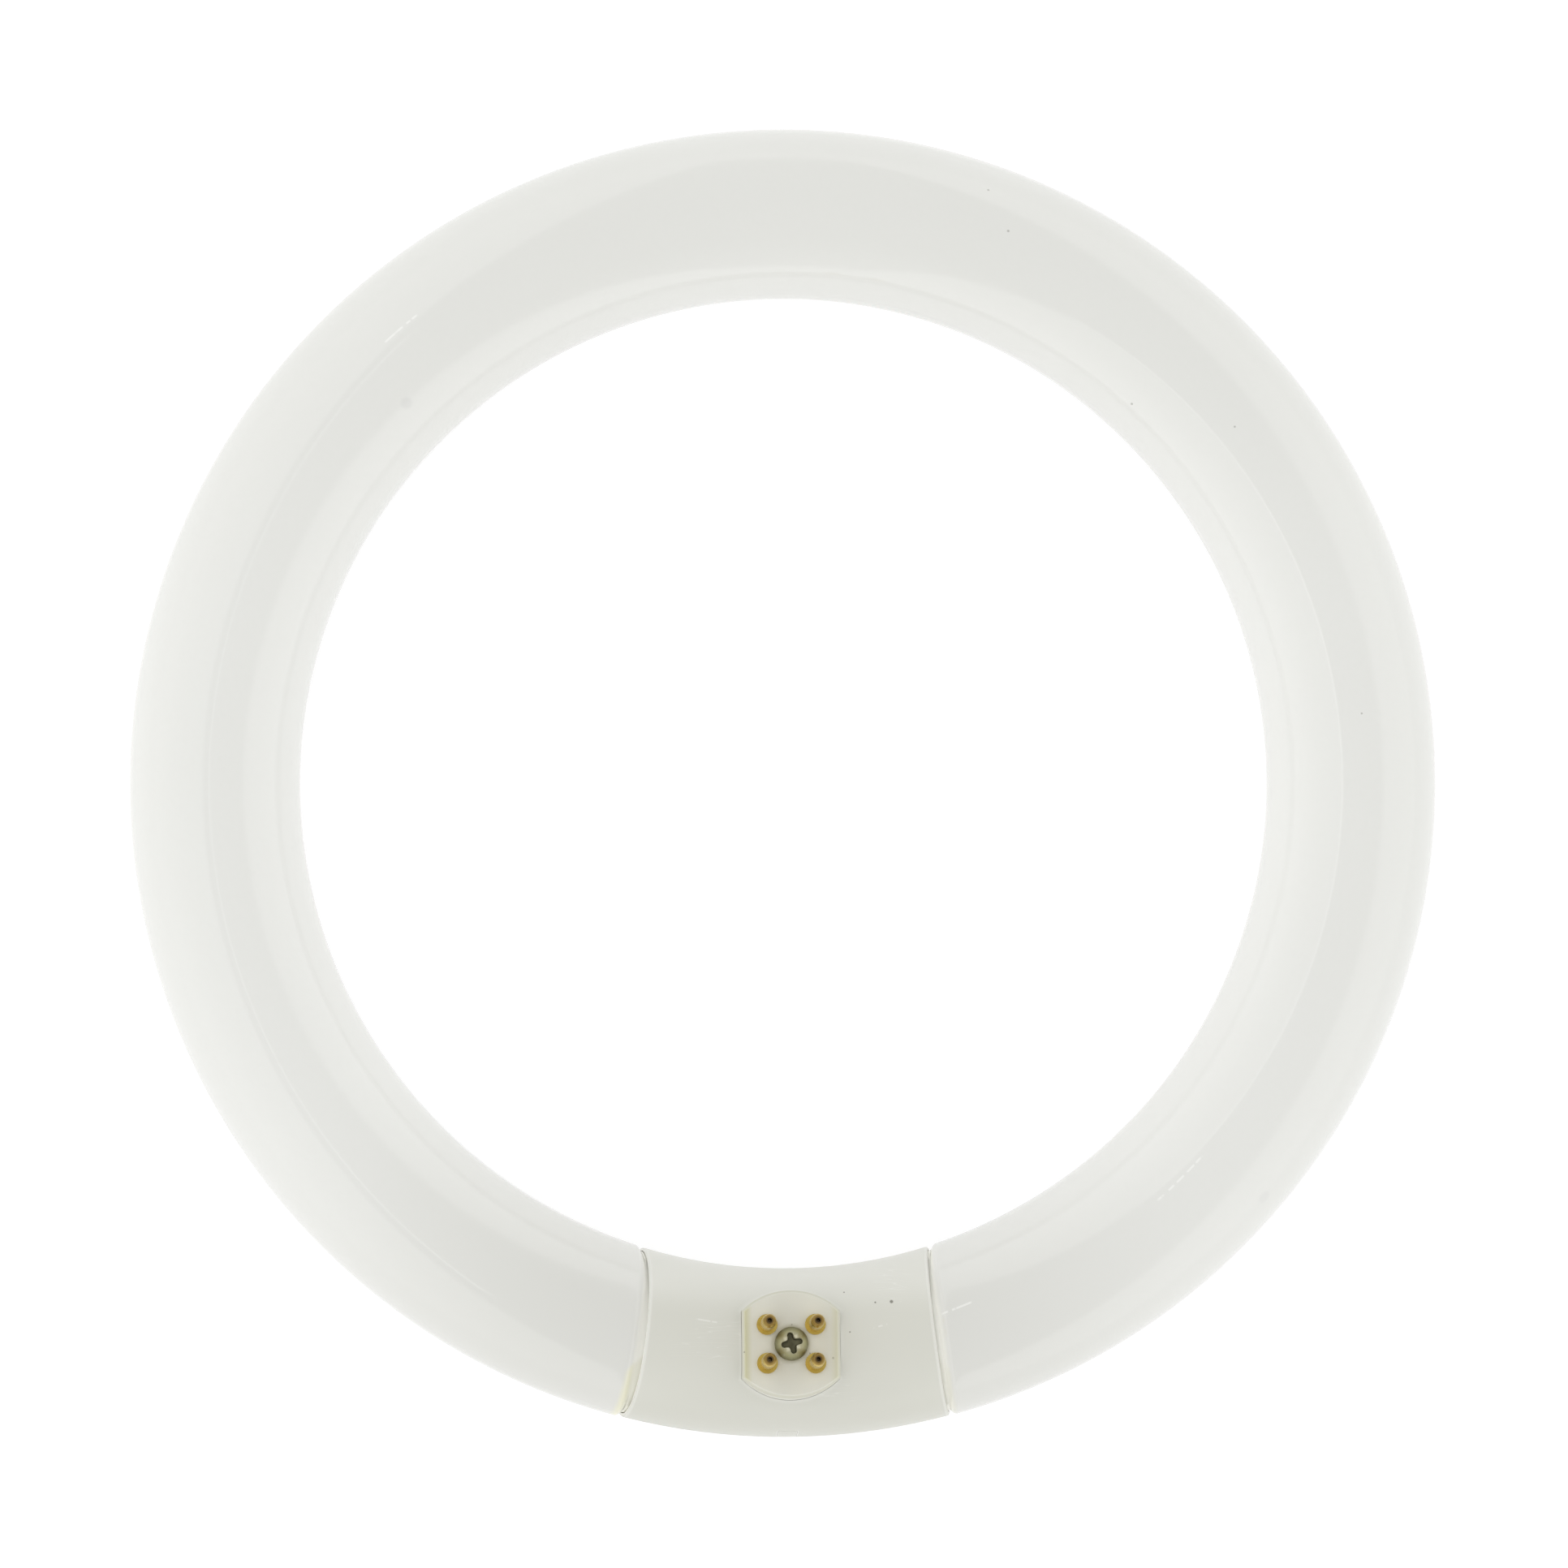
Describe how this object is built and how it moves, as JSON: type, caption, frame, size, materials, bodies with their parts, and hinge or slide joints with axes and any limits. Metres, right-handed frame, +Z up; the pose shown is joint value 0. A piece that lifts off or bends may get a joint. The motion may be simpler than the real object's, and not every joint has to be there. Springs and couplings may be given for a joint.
{
  "type": "circular fluorescent tube",
  "caption": "Ring-shaped white fluorescent lamp whose necked glass ends meet in a swivelling plastic cap with hollow brass contact pins round a centre screw.",
  "frame": {"origin": "centre of the ring on the surface it lies on", "axes": "+Z up along the ring's axis, towards the pins' side; -Y from the centre to the cap"},
  "size_m": [0.216, 0.2159, 0.0363],
  "materials": {
    "coated_glass": "glossy clear glass over a white phosphor coat, opaque",
    "cap_plastic": "satin moulded plastic, faintly yellowed white",
    "insert_plastic": "satin moulded plastic, cream",
    "pin_brass": "drawn brass, lightly tarnished",
    "plated_steel": "dull zinc plate with an olive tint",
    "lead_metal": "nickel lead wire",
    "sleeve_plastic": "woven insulating sleeve"
  },
  "bodies": {
    "tube": {"glass_tube": "coated_glass"},
    "cap": {"front_shell": "cap_plastic", "rear_shell": "cap_plastic", "pin_insert": "insert_plastic", "cap_screw": "plated_steel", "contact_pin_1": "pin_brass", "lead_wire_1": "lead_metal", "wire_sleeve_1": "sleeve_plastic", "contact_pin_2": "pin_brass", "lead_wire_2": "lead_metal", "wire_sleeve_2": "sleeve_plastic", "contact_pin_3": "pin_brass", "lead_wire_3": "lead_metal", "wire_sleeve_3": "sleeve_plastic", "contact_pin_4": "pin_brass", "lead_wire_4": "lead_metal", "wire_sleeve_4": "sleeve_plastic"}
  },
  "joints": [
    {"name": "cap_swivel", "type": "hinge", "parent": "tube", "child": "cap", "pos_m": [0, -0.09198, 0.014], "axis": [1, 0, 0], "range_deg": [-10, 10]}
  ]
}
